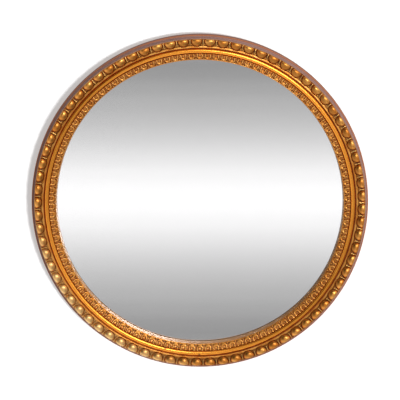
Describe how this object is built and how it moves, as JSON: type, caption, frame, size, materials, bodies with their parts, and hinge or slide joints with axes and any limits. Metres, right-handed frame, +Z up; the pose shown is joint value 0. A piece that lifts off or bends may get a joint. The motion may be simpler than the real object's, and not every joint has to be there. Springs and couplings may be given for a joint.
{
  "type": "round wall mirror",
  "caption": "Round wall mirror in a gilt frame with an egg-and-dart border, a round bead and a leaf-and-pearl border at the glass; turn buttons and a hanging ring behind.",
  "frame": {"origin": "on the ring's axis, in the plane of the wall that the mirror hangs against", "axes": "+Z up, the mirror faces -Y, +X to the right as seen from the front"},
  "size_m": [0.55, 0.0386, 0.55],
  "materials": {
    "back_layer_wood": "raw softwood behind, mahogany-brown paint on the outer side",
    "front_layer_wood": "mahogany-brown paint outside, bronze gilding inside",
    "egg_composition": "moulded composition, dark antique gilding",
    "leaf_composition": "moulded composition, antique gilding",
    "gilt_bead": "burnished gilding over a red-brown ground, worn in spots",
    "mirror_glass": "clear polished float glass",
    "silvering": "silver under a protective coat of paint",
    "backing_paper": "brown wrapping paper",
    "back_board": "plywood, unpainted",
    "cork": "cork",
    "steel_screws": "zinc-plated steel",
    "hanger_steel": "zinc-plated steel",
    "turn_button_brass": "stamped brass, dulled",
    "rubber": "black rubber, matte"
  },
  "bodies": {
    "frame": {"back_ring_segment_1": "back_layer_wood", "back_ring_segment_2": "back_layer_wood", "back_ring_segment_3": "back_layer_wood", "back_ring_segment_4": "back_layer_wood", "back_ring_segment_5": "back_layer_wood", "back_ring_segment_6": "back_layer_wood", "front_ring_segment_1": "front_layer_wood", "front_ring_segment_2": "front_layer_wood", "front_ring_segment_3": "front_layer_wood", "front_ring_segment_4": "front_layer_wood", "front_ring_segment_5": "front_layer_wood", "front_ring_segment_6": "front_layer_wood", "egg_strip_1": "egg_composition", "egg_strip_2": "egg_composition", "egg_strip_3": "egg_composition", "egg_strip_4": "egg_composition", "egg_strip_5": "egg_composition", "egg_strip_6": "egg_composition", "egg_strip_7": "egg_composition", "leaf_strip_1": "leaf_composition", "leaf_strip_2": "leaf_composition", "leaf_strip_3": "leaf_composition", "leaf_strip_4": "leaf_composition", "leaf_strip_5": "leaf_composition", "leaf_strip_6": "leaf_composition", "bead_ring": "gilt_bead", "mirror_glass": "mirror_glass", "silvering": "silvering", "backing_paper": "backing_paper", "back_board": "back_board", "glass_spacers": "cork", "turn_button_screws": "steel_screws", "hanger_plate": "hanger_steel", "hanger_screws": "steel_screws", "wall_bumper_left": "rubber", "wall_bumper_right": "rubber"},
    "turn_button_1": {"turn_button_1": "turn_button_brass"},
    "turn_button_2": {"turn_button_2": "turn_button_brass"},
    "turn_button_3": {"turn_button_3": "turn_button_brass"},
    "turn_button_4": {"turn_button_4": "turn_button_brass"},
    "turn_button_5": {"turn_button_5": "turn_button_brass"},
    "turn_button_6": {"turn_button_6": "turn_button_brass"},
    "turn_button_7": {"turn_button_7": "turn_button_brass"},
    "turn_button_8": {"turn_button_8": "turn_button_brass"},
    "hanger_ring": {"hanger_ring": "hanger_steel"}
  },
  "joints": [
    {"name": "turn_button_1_turn", "type": "hinge", "parent": "frame", "child": "turn_button_1", "pos_m": [0.23005, -0.00435, 0.09529], "axis": [0, 1, 0], "continuous": true},
    {"name": "turn_button_2_turn", "type": "hinge", "parent": "frame", "child": "turn_button_2", "pos_m": [0.09529, -0.00435, 0.23005], "axis": [0, 1, 0], "continuous": true},
    {"name": "turn_button_3_turn", "type": "hinge", "parent": "frame", "child": "turn_button_3", "pos_m": [-0.09529, -0.00435, 0.23005], "axis": [0, 1, 0], "continuous": true},
    {"name": "turn_button_4_turn", "type": "hinge", "parent": "frame", "child": "turn_button_4", "pos_m": [-0.23005, -0.00435, 0.09529], "axis": [0, 1, 0], "continuous": true},
    {"name": "turn_button_5_turn", "type": "hinge", "parent": "frame", "child": "turn_button_5", "pos_m": [-0.23005, -0.00435, -0.09529], "axis": [0, 1, 0], "continuous": true},
    {"name": "turn_button_6_turn", "type": "hinge", "parent": "frame", "child": "turn_button_6", "pos_m": [-0.09529, -0.00435, -0.23005], "axis": [0, 1, 0], "continuous": true},
    {"name": "turn_button_7_turn", "type": "hinge", "parent": "frame", "child": "turn_button_7", "pos_m": [0.09529, -0.00435, -0.23005], "axis": [0, 1, 0], "continuous": true},
    {"name": "turn_button_8_turn", "type": "hinge", "parent": "frame", "child": "turn_button_8", "pos_m": [0.23005, -0.00435, -0.09529], "axis": [0, 1, 0], "continuous": true},
    {"name": "hanger_ring_swing", "type": "hinge", "parent": "frame", "child": "hanger_ring", "pos_m": [0, -0.00285, 0.255], "axis": [-1, 0, 0], "range_deg": [0, 180]}
  ]
}
